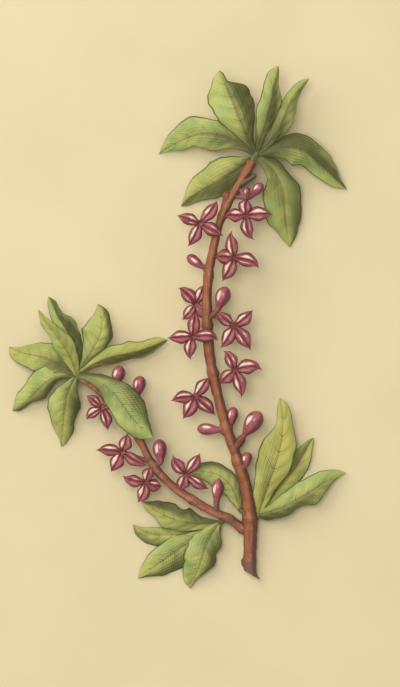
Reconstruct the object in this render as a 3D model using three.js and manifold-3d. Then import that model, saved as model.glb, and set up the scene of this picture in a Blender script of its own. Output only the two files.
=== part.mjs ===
// A cut flowering sprig of mezereon (Daphne mezereum) that lies on its side on a flat surface.
//
// Millimetres. +Z is up from the surface, +Y runs from the cut foot of the stem to its tip, +X is
// to the right of somebody who looks down on the sprig with its tip away from them.
// The plan is drawn from the cut foot; the last lines move the origin to the bottom centre.
//
// One main stem and one side branch carry whorls and tufts of leaves, open four-lobed flowers and
// closed buds. Each tuft is one solid, and so is each flower and bud, 0.3 mm clear of its stem.
import * as THREE from "three";
import { mergeVertices } from "three/addons/utils/BufferGeometryUtils.js";
import Module from "manifold-3d";

const wasm = await Module();
wasm.setup();

// ---- driving dimensions --------------------------------------------------------------------
const GAP = 0.33; // between a tuft or a bloom and the wood it grows from
const LEAF_THICKNESS = 0.6;
const PETIOLE_HALF_WIDTH = 0.7;
const LOBE_THICKNESS = 0.55;
const LOBE_WIDTH = 5.3;
const THROAT_RADIUS = 1.35; // where the tube of a flower opens into its four lobes
const TUBE_RADIUS = 0.95;

const STEM_SIDES = 9;
const STEM_RINGS = 32;
const BRANCH_SIDES = 8;
const BRANCH_RINGS = 22;
const TUBE_SIDES = 6;
const TUBE_RINGS = 3;
const LEAF_STEPS = 9; // along a blade
const LEAF_LANES = 4; // across a blade
const LOBE_STEPS = 4;
const LOBE_LANES = 2;

// ---- the plan of the sprig -----------------------------------------------------------------
// Centre lines of the wood, each place with the radius there. The foot rests on the surface and
// the tips are held up by the leaves.
const STEM_LINE = [
  [0.5, -4.5, 3.3, 3.2], [0.5, 4, 3.2, 3.0], [0.5, 12, 3.6, 2.85], [0.4, 22, 4.5, 2.75],
  [-1.0, 34, 6.1, 2.4], [-4.2, 46, 7.7, 2.15], [-8.0, 56.8, 9.0, 2.0], [-11.6, 70, 10.2, 1.95],
  [-14.4, 82, 11.0, 2.05], [-16.1, 94, 11.6, 2.05], [-16.5, 106, 12.0, 1.85],
  [-16.0, 118, 12.4, 1.7], [-14.2, 130, 12.8, 1.6], [-11.4, 141.6, 13.1, 1.5],
  [-7.6, 150, 13.4, 1.45], [-2.6, 158.4, 13.7, 1.4], [1.2, 165.2, 14.0, 1.35],
];
const BRANCH_LINE = [
  [0.2, 17.6, 4.2, 2.1], [-7.6, 21.4, 5.4, 1.95], [-15.6, 25.6, 6.6, 1.8],
  [-23.6, 30, 7.8, 1.7], [-29.6, 34, 8.6, 1.65], [-35.6, 39.6, 9.4, 1.6],
  [-40.4, 46.4, 10.0, 1.5], [-44, 54, 10.5, 1.45], [-49.6, 61.2, 11.0, 1.4],
  [-55.6, 68.4, 11.4, 1.35], [-60, 73.2, 11.7, 1.25], [-63.6, 76.2, 11.9, 1.2],
  [-66.8, 78.2, 12.1, 1.15],
];
// The stem is sawn off aslant: the cut drops towards +X and leaves a heel there.
const FOOT_CUT = { through: [0.7, 0.7, 3], slope: 36 };
// Swellings where old leaves stood: how far along the wood, from 0 to 1.
const STEM_NODES = [0.06, 0.155, 0.29, 0.37, 0.5, 0.61, 0.72, 0.86, 0.97];
const BRANCH_NODES = [0.12, 0.3, 0.52, 0.66, 0.82];
const NODE_SWELL = 0.22;
const NODE_REACH = 0.012;

// Short spurs of old wood: from inside the stem to the tip, and the radii at both.
const STEM_SPURS = [
  { from: [-17, 101.9, 12], to: [-12.8, 105.6, 13.2], radii: [1.1, 0.85] },
  { from: [-6.4, 49.8, 8.2], to: [-2.1, 55.6, 10.0], radii: [1.75, 1.3] },
  { from: [-8.6, 56.6, 9.2], to: [-11.5, 57.8, 9.6], radii: [1.4, 0.9] },
  { from: [-15.8, 120.6, 12.4], to: [-18.1, 122.6, 13.0], radii: [1.2, 0.85] },
  { from: [-1.6, 160.4, 13.8], to: [1.6, 158.9, 14.6], radii: [0.8, 0.55] },
  { from: [-11.4, 141.5, 13.2], to: [-9.6, 152.2, 12.6], radii: [1.5, 1.15] },
  { from: [-1.2, 3.6, 3.4], to: [-3.0, 5.2, 3.8], radii: [1.5, 0.9] },
];
const BRANCH_SPURS = [
  { from: [-19.4, 28.4, 7.2], to: [-18.9, 25.2, 7.0], radii: [1.1, 0.6] },
];

// Leaves. tip is where the point of the leaf lies. width is the blade's greatest, at the share
// widest of its length. bow and sway bend its line sideways, to the right of its own travel, once
// and in an S; arch lifts it; hook turns the point. fold droops both halves from the midrib when
// it is negative, roll tips the whole blade, right side down when it is positive. Degrees.
const TOP_LEAVES = {
  crown: { from: [1.45, 165.65, 14.03], to: [3.4, 169.3, 14.5], radii: [1.25, 1.0] },
  leaves: [
    { lift: -0.5, tip: [-36, 168.4, 2.4], width: 12.6, widest: 0.6, bow: 8.2, arch: 3.4,
      fold: -14, roll: -8, hook: 0 },
    { lift: 0.9, tip: [-12, 201.2, 20], width: 18.6, widest: 0.6, bow: -0.6, arch: 3.6,
      fold: -24, roll: 8, hook: -0.8 },
    { lift: 0.5, tip: [11.6, 203.2, 18.5], width: 9.0, widest: 0.5, bow: 0.9, arch: 2.4,
      fold: -26, roll: 14, hook: 0 },
    { lift: -0.2, tip: [24, 198.4, 11], width: 7.4, widest: 0.52, bow: 0.8, sway: 1.6, arch: 2.6,
      fold: -28, roll: 10, hook: 0 },
    { lift: 0.2, tip: [39.2, 154.4, 1.0], width: 13.6, widest: 0.55, bow: -7.9, sway: -1.3, arch: 3.6,
      fold: -22, roll: -6, hook: 0 },
    { lift: -0.4, tip: [16.4, 131.2, 1.2], width: 14.8, widest: 0.56, bow: -4.2, sway: -1.6,
      arch: 1.6, fold: -18, roll: -4, hook: 0.6 },
    { lift: -1.0, tip: [-27.2, 147.6, 1.4], width: 12.8, widest: 0.5, bow: -0.3, sway: -0.8,
      arch: -1.6, fold: -14, roll: -4, hook: 0 },
    { lift: -0.9, tip: [-12.6, 182.2, 10.5], width: 5.4, widest: 0.6, bow: 0, arch: 0.4,
      fold: -12, roll: 0, hook: 0 },
  ],
};
const LEFT_LEAVES = {
  crown: { from: [-67.1, 78.4, 12.15], to: [-69.6, 80.6, 12.5], radii: [1.05, 0.9] },
  leaves: [
    { lift: -0.5, tip: [-96, 91.2, 3.0], width: 12.6, widest: 0.56, bow: 2.5, arch: 2.0,
      fold: -18, roll: 6, hook: 2.3 },
    { lift: 0.9, tip: [-84, 106, 24], width: 8.0, widest: 0.42, bow: 1.2, sway: 0.6, arch: 2.6,
      fold: -14, roll: -6, hook: 0 },
    { lift: 0.3, tip: [-80, 111.2, 17], width: 9.6, widest: 0.5, bow: 2.6, sway: 0.8, arch: 1.2,
      fold: -28, roll: 18, hook: 0 },
    { lift: 0, tip: [-60.4, 108.4, 13], width: 12.0, widest: 0.62, bow: 3.2, sway: -0.6,
      arch: 0.6, fold: -18, roll: 6, hook: -1.5 },
    { lift: 0.1, tip: [-32.4, 94, 6.5], width: 8.8, widest: 0.55, bow: -1.2, sway: -1, arch: 2.6,
      fold: -30, roll: 16, hook: 0 },
    { lift: 0.8, tip: [-38.4, 54.8, 14.6], width: 14.2, widest: 0.56, bow: -2.7, sway: -1.8,
      arch: 4.8, fold: -12, roll: -4, hook: 0.8 },
    { lift: -0.6, tip: [-75.2, 51.2, 1.0], width: 12.4, widest: 0.5, bow: 2.0, sway: 0.5,
      arch: 1.4, fold: -16, roll: -6, hook: 0 },
    { lift: -0.3, tip: [-94.8, 65.6, 1.6], width: 10.6, widest: 0.55, bow: 2.8, sway: 1.2,
      arch: 2.0, fold: -26, roll: -8, hook: 0 },
  ],
};
const LOWER_LEAVES = {
  crown: { from: [-10.8, 21.6, 4.6], to: [-12.2, 20.0, 4.3], radii: [1.2, 0.9] },
  leaves: [
    { lift: 0.6, tip: [-42.8, 29.2, 4.2], width: 9.4, widest: 0.55, bow: -3.4, arch: 2.6,
      fold: -18, roll: -10, hook: 0 },
    { lift: -0.6, tip: [-46.4, 20, 2.6], width: 6.8, widest: 0.62, bow: -2.5, arch: -0.6,
      fold: -14, roll: 4, hook: 3.5 },
    { lift: 0, tip: [-44.4, -1.6, 1.0], width: 12.0, widest: 0.62, bow: 0.6, arch: 2.2,
      fold: -18, roll: -4, hook: 0 },
    { lift: 0.8, tip: [-23.6, -5.6, 1.0], width: 12.8, widest: 0.5, bow: 0.9, sway: 0.5,
      arch: 4.0, fold: -18, roll: -6, hook: 0 },
  ],
};
const RIGHT_LEAVES = {
  crown: { from: [2.6, 23.0, 4.9], to: [4.6, 24.6, 5.1], radii: [1.3, 1.0] },
  leaves: [
    { lift: 0.1, tip: [12.4, 70.8, 9.0], width: 12.8, widest: 0.52, bow: 2.8, sway: -0.6,
      arch: 2.4, fold: -14, roll: 6, hook: -1 },
    { lift: -0.9, tip: [26, 54.8, 2.2], width: 7.6, widest: 0.62, bow: 1, arch: -0.4,
      fold: -20, roll: -8, hook: 0 },
    { lift: 0.8, tip: [38.8, 40.8, 2.6], width: 10.8, widest: 0.44, bow: 1.1, sway: 0.7, arch: 4.4,
      fold: -20, roll: 8, hook: 0.4 },
  ],
};
const BACK_LEAF = {
  crown: { from: [-2.2, 25.0, 4.6], to: [-4.2, 26.6, 4.1], radii: [1.0, 0.8] },
  leaves: [
    { lift: 0, tip: [-24, 41.2, 2.2], width: 11.0, widest: 0.5, bow: 6.2, arch: 0.6, fold: -16,
      roll: 0, hook: 0 },
  ],
};

// Open flowers: the throat's place, then each of the four lobes as its bearing in degrees from
// +X, how far its point reaches in plan, and how much higher the point is than the throat.
const STEM_FLOWERS = [
  { throat: [-19.6, 140.4, 17.2], lobes: [[54, 11.4, 0.8], [161, 9.7, 1.6], [242, 10.4, 0.2], [332, 10.4, 0.4]] },
  { throat: [-1.2, 143.6, 16.6], lobes: [[84, 7.0, -0.8], [185, 8.8, 1.2], [2, 10.8, -0.2], [288, 10.1, -0.4]] },
  { throat: [-6.0, 126.8, 17.0], lobes: [[94, 10.8, 0.6], [177, 7.6, 2.2], [243, 10.7, -0.2], [336, 10.9, -0.8]] },
  { throat: [-21.2, 108.4, 7.8], lobes: [[138, 9.6, 1.6], [229, 8.5, 0.2], [307, 7.6, -1.4], [66, 8.8, -0.6]] },
  { throat: [-22.4, 95.2, 16.4], lobes: [[83, 10.1, 0.6], [182, 10.4, 0.2], [265, 9.2, 1.4], [351, 10.1, 0.6]] },
  { throat: [-6.0, 99.6, 16.2], lobes: [[40, 9.9, 0.4], [139, 8.5, 1.6], [238, 10.4, -1.0], [305, 11.8, -0.4]] },
  { throat: [-5.6, 82.0, 15.4], lobes: [[122, 9.0, 1.2], [223, 8.2, 1.2], [282, 11.5, -0.4], [0, 10.8, 0]] },
  { throat: [-21.6, 71.2, 13.8], lobes: [[55, 9.8, 0.4], [189, 9.7, 1.0], [241, 10.0, 0.2], [318, 11.0, -4.2]] },
];
const BRANCH_FLOWERS = [
  { throat: [-58.8, 66.8, 14.2], lobes: [[141, 8.0, 0.6], [219, 7.8, -0.6], [286, 9.4, -1.0], [29, 7.6, -0.8]] },
  { throat: [-50.8, 49.2, 14.0], lobes: [[73, 8.0, 0.4], [176, 10.4, -0.4], [241, 9.1, 0.8], [333, 11.6, 0]] },
  { throat: [-41.4, 37.0, 12.6], lobes: [[68, 6.8, 1.6], [163, 9.6, 0], [249, 8.6, 0.2], [347, 7.0, -4.4]] },
  { throat: [-25.2, 40.4, 13.6], lobes: [[56, 10.1, 0], [124, 9.2, 1.4], [251, 7.2, -0.8], [327, 11.0, -1.0]] },
];

// Buds: the egg-shaped head from its base to its point and its width. The tube below it runs to
// the wood, to the nearest place unless it says where from.
const STEM_BUDS = [
  { base: [1.4, 151.7, 14.8], point: [5.4, 156.4, 16.0], width: 4.0, from: [-7.0, 151.2, 13.4] },
  { base: [-0.7, 151.4, 18.4], point: [-1.0, 154.8, 19.8], width: 2.8, from: [-4.8, 155.2, 13.6] },
  { base: [-18.9, 123.3, 13.4], point: [-24.9, 127.8, 14.6], width: 4.6 },
  { base: [-12.4, 106.2, 13.4], point: [-9.0, 115.2, 14.8], width: 6.0 },
  { base: [-7.2, 60.4, 9.0], point: [-6.0, 67.2, 9.6], width: 4.4 },
  { base: [-1.7, 56.3, 10.4], point: [4.6, 65.2, 12.2], width: 6.8 },
  { base: [-12.2, 58.0, 9.7], point: [-20.8, 58.6, 9.4], width: 4.6 },
  { base: [-1.6, 42.8, 9.6], point: [-0.6, 49.2, 10.8], width: 4.4 },
];
const BRANCH_BUDS = [
  { base: [-53.4, 76.2, 10.4], point: [-51.2, 83.6, 10.6], width: 5.2 },
  { base: [-44.6, 72.2, 10.0], point: [-43.2, 79.6, 10.4], width: 5.2 },
  { base: [-35.2, 45.2, 11.4], point: [-36.0, 54.4, 12.0], width: 6.0 },
  { base: [-13.0, 29.2, 10.2], point: [-12.0, 38.8, 11.8], width: 5.6 },
];

// ---- finishes ------------------------------------------------------------------------------
const finish = (colour, roughness) => new THREE.MeshStandardMaterial({ color: colour, roughness, metalness: 0 });
const BARK = finish("#8f5a44", 0.75);
const LEAF = finish("#98a05a", 0.6);
const PETAL = finish("#93505a", 0.45);
const BUD = finish("#8f4652", 0.35);

// ---- solids --------------------------------------------------------------------------------
const vector = ([x, y, z]) => new THREE.Vector3(x, y, z);

// A closed geometry as a manifold-3d solid.
function solid(geometry) {
  const bare = geometry.clone();
  bare.deleteAttribute("normal");
  bare.deleteAttribute("uv");
  const merged = mergeVertices(bare, 1e-4);
  return new wasm.Manifold(new wasm.Mesh({
    numProp: 3,
    vertProperties: new Float32Array(merged.attributes.position.array),
    triVerts: new Uint32Array(merged.index.array),
  }));
}

// A solid as a named mesh of the scene.
function node(name, shape, material) {
  const { vertProperties, triVerts } = shape.getMesh();
  const geometry = new THREE.BufferGeometry();
  geometry.setAttribute("position", new THREE.BufferAttribute(vertProperties, 3));
  geometry.setIndex(new THREE.BufferAttribute(triVerts, 1));
  geometry.computeVertexNormals();
  const mesh = new THREE.Mesh(geometry, material);
  mesh.name = name;
  return mesh;
}

// Moves every vertex of a geometry to where place(vertex) says.
function reshape(geometry, place) {
  const position = geometry.attributes.position;
  const at = new THREE.Vector3();
  for (let i = 0; i < position.count; i++) {
    at.fromBufferAttribute(position, i);
    position.setXYZ(i, ...place(at).toArray());
  }
  return geometry;
}

// A round limb along a curve, closed at both ends, whose radius follows radiusAt(share). extra
// makes it that much thicker and longer at its tip.
function limb(curve, radiusAt, sides, rings, extra = 0) {
  const frames = curve.computeFrenetFrames(rings);
  return solid(reshape(new THREE.CylinderGeometry(1, 1, 1, sides, rings), (at) => {
    const ring = Math.round((at.y + 0.5) * rings);
    const radius = radiusAt(ring / rings) + extra;
    return curve.getPointAt(ring / rings)
      .addScaledVector(frames.tangents[ring], ring === rings ? extra : 0)
      .addScaledVector(frames.binormals[ring], at.x * radius)
      .addScaledVector(frames.normals[ring], at.z * radius);
  }));
}

function spur({ from, to, radii }, extra = 0) {
  const line = new THREE.LineCurve3(vector(from), vector(to));
  return limb(line, (share) => THREE.MathUtils.lerp(radii[0], radii[1], share), 7, 1, extra);
}

// The radius of the wood along its line, with a slight swelling at each old node.
function girth(curve, line, nodes) {
  return (share) => {
    const at = curve.getUtoTmapping(share) * (line.length - 1);
    const below = Math.min(Math.floor(at), line.length - 2);
    const swell = nodes.reduce((sum, where) => sum + Math.exp(-(((share - where) / NODE_REACH) ** 2)), 0);
    return THREE.MathUtils.lerp(line[below][3], line[below + 1][3], at - below) + NODE_SWELL * swell;
  };
}

// How wide a blade is at share u of its length, as a share of its greatest width.
function bladeShare(u, widest, point) {
  const rise = (point * widest) / (1 - widest);
  return ((u / widest) ** rise) * (((1 - u) / (1 - widest)) ** point);
}

// A thin blade: BoxGeometry's x runs across it, y along it and z through it. line(u) is its midrib
// and half(u) its half width; fold and roll are as for the leaves, in radians.
function blade({ line, half, thickness, fold, roll, ripple, steps, lanes }) {
  const up = new THREE.Vector3(0, 0, 1);
  return solid(reshape(new THREE.BoxGeometry(1, 1, 1, lanes, steps, 1), (at) => {
    const u = at.y + 0.5;
    const v = at.x * 2;
    const along = line(Math.min(u + 0.01, 1)).sub(line(Math.max(u - 0.01, 0))).normalize();
    const across = along.clone().cross(up).normalize();
    const through = across.clone().cross(along);
    across.applyAxisAngle(along, roll);
    through.applyAxisAngle(along, roll);
    const reach = half(u);
    const height = Math.abs(v) * reach * Math.sin(fold) + ripple(u, v);
    const thick = thickness * at.z * (u < 0.97 ? 1 : 0.6);
    return line(u)
      .addScaledVector(across, v * reach * Math.cos(fold))
      .addScaledVector(through, height + thick);
  }));
}

// The midrib of a leaf or a lobe, from its root to its point.
function midrib(root, { tip, bow = 0, sway = 0, arch = 0, hook = 0 }) {
  const point = vector(tip);
  const plan = new THREE.Vector3(point.x - root.x, point.y - root.y, 0).normalize();
  const right = new THREE.Vector3(plan.y, -plan.x, 0);
  const aim = point.clone().addScaledVector(right, -hook);
  return (u) => {
    const bend = bow * Math.sin(Math.PI * u) + sway * Math.sin(2 * Math.PI * u);
    const turn = hook * Math.max(0, (u - 0.7) / 0.3) ** 2;
    return root.clone().lerp(aim, u)
      .addScaledVector(right, bend + turn)
      .add(new THREE.Vector3(0, 0, arch * Math.sin(Math.PI * u)));
  };
}

// One leaf of a tuft. Its margins wave, each leaf in its own phase.
function leaf(crown, plan, phase) {
  const root = vector(crown.to).lerp(vector(crown.from), 0.35);
  root.z += plan.lift * 0.6;
  return blade({
    line: midrib(root, plan),
    half: (u) => Math.max(
      (plan.width / 2) * bladeShare(u, plan.widest, 1.05) * (1 + 0.05 * Math.sin(15 * u + phase)),
      u < 0.5 ? PETIOLE_HALF_WIDTH : 0.2,
    ),
    thickness: LEAF_THICKNESS,
    fold: THREE.MathUtils.degToRad(plan.fold),
    roll: THREE.MathUtils.degToRad(plan.roll),
    ripple: (u, v) => 0.05 * plan.width * v * v * Math.sin(Math.PI * u) * Math.sin(13 * u + phase + 1.3 * v),
    steps: LEAF_STEPS,
    lanes: LEAF_LANES,
  });
}

// A tuft: a short stem with its leaves fused on.
function tuft({ crown, leaves }) {
  return leaves.map((plan, i) => leaf(crown, plan, 2.1 * i)).reduce((all, one) => all.add(one), spur(crown));
}

// The point of a limb's line that is nearest to a place, seen from above.
function nearest(curve, place) {
  const flat = new THREE.Vector2(place.x, place.y);
  return curve.getSpacedPoints(200).reduce((best, at) => (
    flat.distanceTo(new THREE.Vector2(at.x, at.y)) < flat.distanceTo(new THREE.Vector2(best.x, best.y)) ? at : best
  ));
}

// The tube of a flower or bud leaves the wood sideways and turns up to meet end along heading.
function tube(start, end, heading, radiusAt) {
  const out = end.clone().sub(start).setZ(0);
  const span = end.distanceTo(start);
  out.setLength(0.45 * span);
  const line = new THREE.CubicBezierCurve3(
    start,
    start.clone().add(out),
    end.clone().addScaledVector(heading, -0.4 * span),
    end,
  );
  return limb(line, radiusAt, TUBE_SIDES, TUBE_RINGS);
}

// A flower: the tube, widened at its throat, and four lobes with a groove down the middle.
function flower(curve, { throat, lobes }) {
  const centre = vector(throat);
  const start = nearest(curve, centre);
  const away = centre.clone().sub(start).setZ(0).normalize();
  const facing = new THREE.Vector3(0, 0, 1).addScaledVector(away, 0.4).normalize();
  const cup = tube(start, centre, facing, (share) => (
    TUBE_RADIUS + (THROAT_RADIUS - TUBE_RADIUS) * Math.max(0, 2 * share - 1) ** 2
  ));
  return lobes.reduce((all, [bearing, reach, rise], i) => {
    const angle = THREE.MathUtils.degToRad(bearing);
    const ray = new THREE.Vector3(Math.cos(angle), Math.sin(angle), 0);
    const tip = centre.clone().addScaledVector(ray, reach).add(new THREE.Vector3(0, 0, rise));
    const root = centre.clone().addScaledVector(ray, 0.35 * THROAT_RADIUS);
    root.z -= 0.3;
    return all.add(blade({
      line: midrib(root, { tip: tip.toArray(), arch: 0.6, hook: i % 2 ? 0.5 : -0.5 }),
      half: (u) => Math.max((LOBE_WIDTH / 2) * bladeShare(u, 0.48, 0.8), u < 0.5 ? 0.7 : 0.2),
      thickness: LOBE_THICKNESS,
      fold: THREE.MathUtils.degToRad(14),
      roll: 0,
      ripple: () => 0,
      steps: LOBE_STEPS,
      lanes: LOBE_LANES,
    }));
  }, cup);
}

// A bud: an egg on its tube.
function bud(curve, { base, point, width, from }) {
  const foot = vector(base);
  const start = from ? vector(from) : nearest(curve, foot);
  const axis = vector(point).sub(foot);
  const length = axis.length();
  axis.normalize();
  const rings = 6;
  const profile = Array.from({ length: rings + 1 }, (_, i) => {
    const share = i / rings;
    return new THREE.Vector2((width / 2) * Math.sin(Math.PI * share ** 0.85), length * share);
  });
  profile[0].x = 0;
  profile[rings].x = 0;
  const egg = new THREE.LatheGeometry(profile, 8);
  egg.applyQuaternion(new THREE.Quaternion().setFromUnitVectors(new THREE.Vector3(0, 1, 0), axis));
  egg.translate(...base);
  const end = foot.clone().addScaledVector(axis, 0.12 * length);
  const neck = Math.min(0.24 * width, 1.2);
  return solid(egg).add(tube(start, end, axis, (share) => THREE.MathUtils.lerp(0.75, neck, share)));
}

// ---- the sprig -----------------------------------------------------------------------------
const stemCurve = new THREE.CatmullRomCurve3(STEM_LINE.map(vector), false, "centripetal");
const branchCurve = new THREE.CatmullRomCurve3(BRANCH_LINE.map(vector), false, "centripetal");

// The wood of the stem or the branch with its spurs, grown by extra to cut the rest clear of it.
function stemWood(extra) {
  const radiusAt = girth(stemCurve, STEM_LINE, STEM_NODES);
  const wood = limb(stemCurve, radiusAt, STEM_SIDES, STEM_RINGS, extra);
  return STEM_SPURS.reduce((all, one) => all.add(spur(one, extra)), wood);
}

function branchWood(extra) {
  const radiusAt = girth(branchCurve, BRANCH_LINE, BRANCH_NODES);
  const wood = limb(branchCurve, radiusAt, BRANCH_SIDES, BRANCH_RINGS, extra);
  return BRANCH_SPURS.reduce((all, one) => all.add(spur(one, extra)), wood);
}

// The half space below the slanting cut at the foot.
function belowTheCut() {
  const block = new THREE.BoxGeometry(40, 40, 40);
  block.translate(0, -20, 0);
  block.rotateZ(THREE.MathUtils.degToRad(-FOOT_CUT.slope));
  block.translate(...FOOT_CUT.through);
  return solid(block);
}

const clearance = stemWood(GAP).add(branchWood(GAP));
const clearOfWood = (shape) => {
  const pieces = shape.subtract(clearance).decompose();
  return pieces.reduce((best, one) => (one.volume() > best.volume() ? one : best));
};

const sprig = new THREE.Group();
sprig.add(node("main_stem", stemWood(0).subtract(belowTheCut()), BARK));
sprig.add(node("side_branch", branchWood(0).subtract(stemWood(GAP)), BARK));

const tufts = {
  top_leaves: TOP_LEAVES,
  left_leaves: LEFT_LEAVES,
  lower_leaves: LOWER_LEAVES,
  right_leaves: RIGHT_LEAVES,
  back_leaf: BACK_LEAF,
};
for (const [name, plan] of Object.entries(tufts)) {
  sprig.add(node(name, clearOfWood(tuft(plan)), LEAF));
}

const numbered = (kind, i) => `${kind}_${String(i + 1).padStart(2, "0")}`;
const blooms = (kind, onStem, onBranch, make, material) => {
  const shapes = [...onStem.map((plan) => make(stemCurve, plan)), ...onBranch.map((plan) => make(branchCurve, plan))];
  shapes.forEach((shape, i) => sprig.add(node(numbered(kind, i), clearOfWood(shape), material)));
};
blooms("flower", STEM_FLOWERS, BRANCH_FLOWERS, flower, PETAL);
blooms("bud", STEM_BUDS, BRANCH_BUDS, bud, BUD);

// The origin goes to the bottom centre of the whole sprig.
const box = new THREE.Box3().setFromObject(sprig);
sprig.position.set(-(box.min.x + box.max.x) / 2, -(box.min.y + box.max.y) / 2, -box.min.z);

export default sprig;
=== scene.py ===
"""A cut flowering sprig of mezereon, lying on a pale table.

The wood is skinned with young bark over the stem and the side branch, every tuft of leaves is made
leaf by leaf with its midrib, veins and wavy margin, and every flower and bud has its own tube.
Tables are in millimetres in the sprig's own plan, with the cut foot of the stem near zero.
"""
import math
import bpy
import numpy as np
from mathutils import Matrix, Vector, noise


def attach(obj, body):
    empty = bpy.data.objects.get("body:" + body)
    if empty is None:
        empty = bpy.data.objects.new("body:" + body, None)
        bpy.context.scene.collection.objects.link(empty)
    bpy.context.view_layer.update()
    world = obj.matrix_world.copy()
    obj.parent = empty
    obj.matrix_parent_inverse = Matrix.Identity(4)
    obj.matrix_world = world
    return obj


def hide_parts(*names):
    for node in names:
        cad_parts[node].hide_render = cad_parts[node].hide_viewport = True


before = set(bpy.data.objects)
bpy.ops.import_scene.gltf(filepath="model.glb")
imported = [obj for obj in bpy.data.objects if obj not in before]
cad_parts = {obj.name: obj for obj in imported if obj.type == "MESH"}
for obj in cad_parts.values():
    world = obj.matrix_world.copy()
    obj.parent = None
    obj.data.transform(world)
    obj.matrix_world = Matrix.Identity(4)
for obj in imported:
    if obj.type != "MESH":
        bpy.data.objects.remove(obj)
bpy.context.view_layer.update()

from types import SimpleNamespace

MM = 0.001
PLAN_ZERO = np.array([28.3906, -98.7548, -0.1635])  # where the plan's zero lies in the frame
UP = np.array([0.0, 0.0, 1.0])
# Painted highlights go on the side of a lobe or bud that faces TO_LIGHT, and painted shade on the flanks of
# wood, buds and tubes that face FROM_LIGHT or down.
TO_LIGHT = np.array([-0.46, 0.4, 0.79])  # the way to the window, at the upper left
FROM_LIGHT = np.array([0.9, -0.42, 0.0])  # level, to the lower right
TABLE_CLEAR = 0.45  # mm from the table to the middle of a blade that lies on it

# ---- the plan ----
# Centre lines of the wood: x, y, z and the radius there.
STEM_LINE = [
    (0.4, -4.5, 2.8, 2.5), (0.4, 4, 2.8, 2.5), (0.5, 12, 3.4, 2.65), (0.5, 22, 4.5, 2.8), (-1, 34, 6.1, 2.4),
    (-4.5, 46, 7.7, 2.2), (-8.3, 56.8, 9, 2.05), (-12, 70, 10.2, 2), (-14.7, 82, 11, 2.1),
    (-16.3, 94, 11.6, 2.1), (-16.8, 106, 12, 1.9), (-16.3, 118, 12.4, 1.8), (-14.4, 130, 12.8, 1.7),
    (-11.5, 141.6, 13.1, 1.55), (-7.6, 150, 13.4, 1.5), (-2.6, 158.4, 13.7, 1.5), (0, 162.6, 13.9, 1.85),
    (1.2, 165.2, 14, 2.2),
]
BRANCH_LINE = [
    (0.6, 15.4, 3.4, 1.8), (-2.6, 18.4, 4.2, 1.95), (-7.5, 22.1, 5.4, 1.75), (-15.5, 25.9, 6.6, 1.7),
    (-23.4, 30.4, 7.8, 1.7), (-29.3, 34.5, 8.6, 1.65), (-35.2, 40, 9.4, 1.6), (-40, 46.7, 10, 1.5),
    (-43.7, 54.2, 10.5, 1.45), (-49.4, 61.4, 11, 1.4), (-55.6, 68.4, 11.4, 1.35), (-60, 73.2, 11.7, 1.25),
    (-63.6, 76.2, 11.9, 1.2), (-66.8, 78.2, 12.1, 1.15),
]
STEM_NODES = (0.155, 0.29, 0.37, 0.5, 0.61, 0.72, 0.86, 0.97)
BRANCH_NODES = (0.12, 0.3, 0.52, 0.66, 0.82)
FOOT_CUT = dict(through=(0.7, 0.15), slope=30.4, splinter=1.6)

# Short spurs of old wood: from, to, the radii at both, and how far up it counts as, since the wood
# is greyest near the foot.
STEM_SPURS = [
    ((-17, 101.9, 12), (-12.8, 105.6, 13.2), (1.1, 0.85), 8),
    ((-6.4, 49.8, 8.2), (-2.1, 55.6, 10), (1.75, 1.3), 30),
    ((-8.6, 56.6, 9.2), (-11.5, 57.8, 9.6), (1.4, 0.9), 30),
    ((-15.8, 120.6, 12.4), (-18.1, 122.6, 13), (1.2, 0.85), 30),
    ((-3.2, 156.4, 13.6), (2.9, 159.9, 14.3), (1.45, 0.75), 0),
    ((-9.8, 145.6, 13.1), (-8.5, 153.4, 12.7), (1.6, 1.4), 30),
]
BRANCH_SPURS = [((-19.2, 28.6, 7.2), (-18.9, 25.6, 7), (1.1, 0.6), 30)]
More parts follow.
